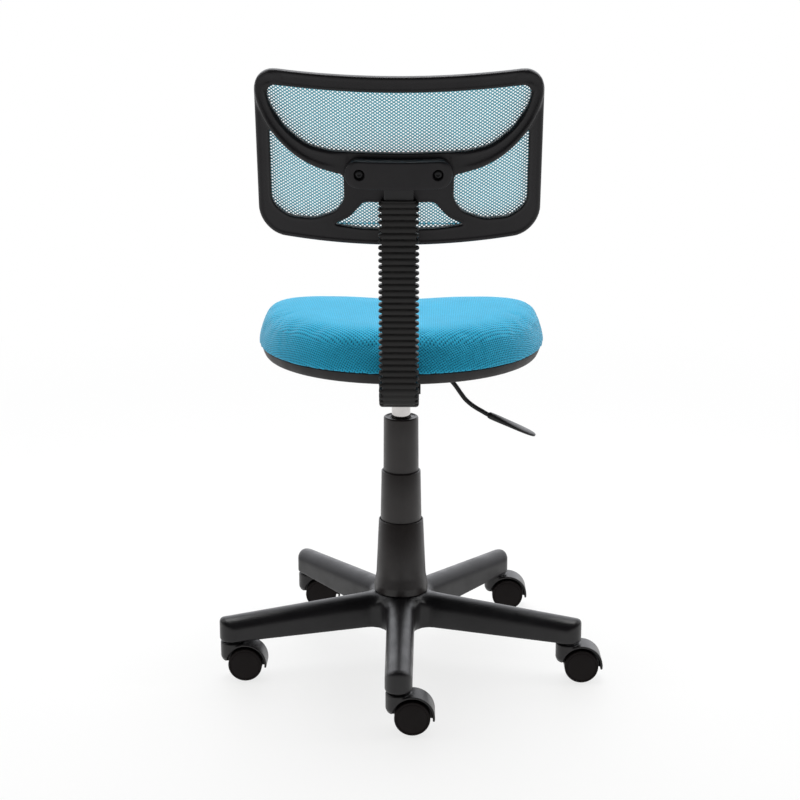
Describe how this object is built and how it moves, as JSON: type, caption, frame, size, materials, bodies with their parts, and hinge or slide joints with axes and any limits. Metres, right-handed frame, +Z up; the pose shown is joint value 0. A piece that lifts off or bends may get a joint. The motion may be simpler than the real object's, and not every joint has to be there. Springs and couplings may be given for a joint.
{
  "type": "swivel office chair",
  "caption": "Armless swivel task chair with gas lift, low mesh back on a J-bar, round padded seat and five-star base on hooded twin-wheel casters.",
  "frame": {"origin": "on the floor, in the middle of the chair's footprint; the column's axis is at x -0.0157, y 0.025", "axes": "+Z up, +Y the way a sitter faces, +X to the sitter's right, where the lever is"},
  "size_m": [0.5674, 0.5126, 0.8997],
  "materials": {
    "base_nylon": "satin moulded black nylon",
    "black_steel": "black powder coat",
    "cover_plastic": "satin charcoal plastic",
    "black_plastic": "satin black plastic",
    "pan_plastic": "matte black plastic",
    "frame_plastic": "fine-textured black plastic",
    "bright_steel": "plain machined steel",
    "dark_screw": "black oxide",
    "chrome": "polished chrome",
    "rubber": "soft black rubber",
    "plywood": "bare plywood",
    "seat_fabric": "turquoise spacer mesh fabric",
    "back_mesh": "pale turquoise knitted mesh",
    "caster_plastic": "satin black nylon",
    "wheel_plastic": "matte black nylon"
  },
  "bodies": {
    "base": {"star_base": "base_nylon", "column_tube": "black_steel", "guide_bush": "black_plastic", "thrust_bearing": "bright_steel", "cover_bottom": "cover_plastic"},
    "lift_rod": {"piston_rod": "bright_steel", "retaining_clip": "bright_steel"},
    "cover_middle": {"cover_middle": "cover_plastic"},
    "cover_top": {"cover_top": "cover_plastic"},
    "seat": {"gas_spindle": "chrome", "rod_seal": "rubber", "taper_socket": "black_steel", "mechanism_plate": "black_steel", "lever_bush": "black_plastic", "seat_bolt_1": "bright_steel", "seat_bolt_2": "bright_steel", "seat_bolt_3": "bright_steel", "seat_bolt_4": "bright_steel", "bar_bolt_front": "bright_steel", "bar_bolt_rear": "bright_steel", "j_bar": "black_steel", "bellows": "rubber", "seat_pan": "pan_plastic", "seat_board": "plywood", "seat_cushion": "seat_fabric", "back_bracket": "frame_plastic", "bracket_screw_left": "dark_screw", "bracket_screw_right": "dark_screw", "back_frame": "frame_plastic", "mesh_panel": "back_mesh"},
    "lever": {"lever_rod": "black_steel", "lever_paddle": "black_plastic"},
    "valve": {"valve_button": "bright_steel"},
    "caster_1": {"caster_1_housing": "caster_plastic", "caster_1_stem": "bright_steel", "caster_1_axle": "bright_steel"},
    "caster_1_wheel_near": {"caster_1_wheel_near": "wheel_plastic"},
    "caster_1_wheel_far": {"caster_1_wheel_far": "wheel_plastic"},
    "caster_2": {"caster_2_housing": "caster_plastic", "caster_2_stem": "bright_steel", "caster_2_axle": "bright_steel"},
    "caster_2_wheel_near": {"caster_2_wheel_near": "wheel_plastic"},
    "caster_2_wheel_far": {"caster_2_wheel_far": "wheel_plastic"},
    "caster_3": {"caster_3_housing": "caster_plastic", "caster_3_stem": "bright_steel", "caster_3_axle": "bright_steel"},
    "caster_3_wheel_near": {"caster_3_wheel_near": "wheel_plastic"},
    "caster_3_wheel_far": {"caster_3_wheel_far": "wheel_plastic"},
    "caster_4": {"caster_4_housing": "caster_plastic", "caster_4_stem": "bright_steel", "caster_4_axle": "bright_steel"},
    "caster_4_wheel_near": {"caster_4_wheel_near": "wheel_plastic"},
    "caster_4_wheel_far": {"caster_4_wheel_far": "wheel_plastic"},
    "caster_5": {"caster_5_housing": "caster_plastic", "caster_5_stem": "bright_steel", "caster_5_axle": "bright_steel"},
    "caster_5_wheel_near": {"caster_5_wheel_near": "wheel_plastic"},
    "caster_5_wheel_far": {"caster_5_wheel_far": "wheel_plastic"}
  },
  "joints": [
    {"name": "seat_swivel", "type": "hinge", "parent": "base", "child": "lift_rod", "pos_m": [-0.0157, 0.025, 0.06], "axis": [0, 0, 1], "continuous": true},
    {"name": "gas_lift", "type": "slide", "parent": "lift_rod", "child": "seat", "axis": [0, 0, 1], "range_m": [-0.1, 0]},
    {"name": "cover_top_slide", "type": "slide", "parent": "base", "child": "cover_top", "axis": [0, 0, 1], "range_m": [-0.07, 0]},
    {"name": "cover_middle_slide", "type": "slide", "parent": "base", "child": "cover_middle", "axis": [0, 0, 1], "range_m": [-0.035, 0]},
    {"name": "lever_tilt", "type": "hinge", "parent": "seat", "child": "lever", "pos_m": [0.0133, 0.025, 0.4595], "axis": [0, -1, 0], "range_deg": [0, 5], "stiffness_Nm_per_rad": 1},
    {"name": "valve_press", "type": "slide", "parent": "seat", "child": "valve", "axis": [0, 0, -1], "range_m": [0, 0.0025]},
    {"name": "caster_1_swivel", "type": "hinge", "parent": "base", "child": "caster_1", "pos_m": [-0.0157, -0.2367, 0.0572], "axis": [0, 0, 1], "continuous": true},
    {"name": "caster_1_near_spin", "type": "hinge", "parent": "caster_1", "child": "caster_1_wheel_near", "pos_m": [0.0034, -0.2367, 0.025], "axis": [0, 1, 0], "continuous": true},
    {"name": "caster_1_far_spin", "type": "hinge", "parent": "caster_1", "child": "caster_1_wheel_far", "pos_m": [0.0034, -0.2367, 0.025], "axis": [0, 1, 0], "continuous": true},
    {"name": "caster_2_swivel", "type": "hinge", "parent": "base", "child": "caster_2", "pos_m": [0.23319, -0.05587, 0.0572], "axis": [0, 0, 1], "continuous": true},
    {"name": "caster_2_near_spin", "type": "hinge", "parent": "caster_2", "child": "caster_2_wheel_near", "pos_m": [0.25229, -0.05587, 0.025], "axis": [0, 1, 0], "continuous": true},
    {"name": "caster_2_far_spin", "type": "hinge", "parent": "caster_2", "child": "caster_2_wheel_far", "pos_m": [0.25229, -0.05587, 0.025], "axis": [0, 1, 0], "continuous": true},
    {"name": "caster_3_swivel", "type": "hinge", "parent": "base", "child": "caster_3", "pos_m": [0.13812, 0.23672, 0.0572], "axis": [0, 0, 1], "continuous": true},
    {"name": "caster_3_near_spin", "type": "hinge", "parent": "caster_3", "child": "caster_3_wheel_near", "pos_m": [0.15722, 0.23672, 0.025], "axis": [0, 1, 0], "continuous": true},
    {"name": "caster_3_far_spin", "type": "hinge", "parent": "caster_3", "child": "caster_3_wheel_far", "pos_m": [0.15722, 0.23672, 0.025], "axis": [0, 1, 0], "continuous": true},
    {"name": "caster_4_swivel", "type": "hinge", "parent": "base", "child": "caster_4", "pos_m": [-0.16952, 0.23672, 0.0572], "axis": [0, 0, 1], "continuous": true},
    {"name": "caster_4_near_spin", "type": "hinge", "parent": "caster_4", "child": "caster_4_wheel_near", "pos_m": [-0.15042, 0.23672, 0.025], "axis": [0, 1, 0], "continuous": true},
    {"name": "caster_4_far_spin", "type": "hinge", "parent": "caster_4", "child": "caster_4_wheel_far", "pos_m": [-0.15042, 0.23672, 0.025], "axis": [0, 1, 0], "continuous": true},
    {"name": "caster_5_swivel", "type": "hinge", "parent": "base", "child": "caster_5", "pos_m": [-0.26459, -0.05587, 0.0572], "axis": [0, 0, 1], "continuous": true},
    {"name": "caster_5_near_spin", "type": "hinge", "parent": "caster_5", "child": "caster_5_wheel_near", "pos_m": [-0.24549, -0.05587, 0.025], "axis": [0, 1, 0], "continuous": true},
    {"name": "caster_5_far_spin", "type": "hinge", "parent": "caster_5", "child": "caster_5_wheel_far", "pos_m": [-0.24549, -0.05587, 0.025], "axis": [0, 1, 0], "continuous": true}
  ],
  "couplings": [
    {"joint": "cover_top_slide", "follows": "gas_lift", "ratio": 0.7},
    {"joint": "cover_middle_slide", "follows": "gas_lift", "ratio": 0.35},
    {"joint": "valve_press", "follows": "lever_tilt", "m_per_rad": 0.0275}
  ]
}
